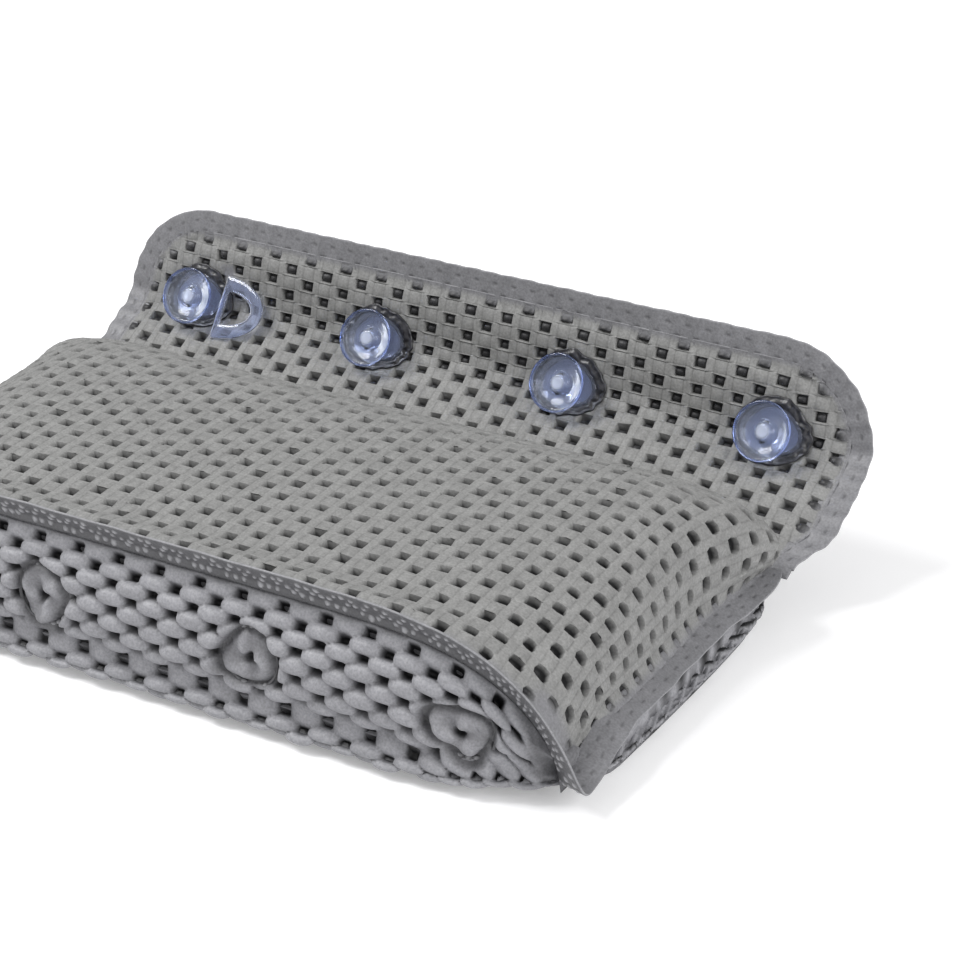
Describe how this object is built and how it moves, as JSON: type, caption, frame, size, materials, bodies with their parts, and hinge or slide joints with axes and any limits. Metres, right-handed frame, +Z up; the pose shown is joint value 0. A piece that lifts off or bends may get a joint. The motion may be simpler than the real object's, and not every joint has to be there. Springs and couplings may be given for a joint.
{
  "type": "bath pillow",
  "caption": "Padded bath pillow of welded foam net with a bendable rear flap that carries a row of clear suction cups and a hanging loop.",
  "frame": {"origin": "on the floor, under the middle of the whole pillow", "axes": "+Z up, +X along the row of suction cups, -Y towards the near wall of the cushion, +Y towards the flap"},
  "size_m": [0.31, 0.212, 0.0776],
  "materials": {
    "net_back": "soft matte foamed PVC net, square holes",
    "net_front": "soft satin foamed PVC net, rounded lozenges",
    "weld": "pressed and fused PVC, darker and smoother than the net",
    "fibre": "loose polyester fibre",
    "clear_pvc": "clear soft PVC with a blue-violet tint"
  },
  "bodies": {
    "cushion": {"back_panel": "net_back", "front_panel": "net_front", "fibre_fill": "fibre", "edge_weld": "weld", "hinge_weld": "weld", "tuft_button_1": "net_front", "tuft_button_2": "net_front", "tuft_button_3": "net_front", "tuft_button_4": "net_front"},
    "flap": {"flap_back_sheet": "net_back", "flap_front_sheet": "net_front", "flap_edge_weld": "weld", "cup_base_1": "clear_pvc", "cup_base_2": "clear_pvc", "cup_base_3": "clear_pvc", "cup_base_4": "clear_pvc"},
    "cup_1": {"suction_cup_1": "clear_pvc"},
    "cup_2": {"suction_cup_2": "clear_pvc"},
    "cup_3": {"suction_cup_3": "clear_pvc"},
    "cup_4": {"suction_cup_4": "clear_pvc"},
    "loop": {"hang_loop": "clear_pvc"}
  },
  "joints": [
    {"name": "flap_fold", "type": "hinge", "parent": "cushion", "child": "flap", "pos_m": [0, 0.05761, 0.016], "axis": [1, 0, 0], "range_deg": [-45, 50]},
    {"name": "cup_press_1", "type": "slide", "parent": "flap", "child": "cup_1", "axis": [0, 0.8973, -0.4415], "range_m": [0, 0.0025], "stiffness_N_per_m": 600},
    {"name": "cup_press_2", "type": "slide", "parent": "flap", "child": "cup_2", "axis": [0, 0.8973, -0.4415], "range_m": [0, 0.0025], "stiffness_N_per_m": 600},
    {"name": "cup_press_3", "type": "slide", "parent": "flap", "child": "cup_3", "axis": [0, 0.8973, -0.4415], "range_m": [0, 0.0025], "stiffness_N_per_m": 600},
    {"name": "cup_press_4", "type": "slide", "parent": "flap", "child": "cup_4", "axis": [0, 0.8973, -0.4415], "range_m": [0, 0.0025], "stiffness_N_per_m": 600},
    {"name": "loop_lift", "type": "hinge", "parent": "flap", "child": "loop", "pos_m": [-0.1082, 0.09147, 0.04603], "axis": [0, -0.5649, -0.8252], "range_deg": [0, 90]}
  ]
}
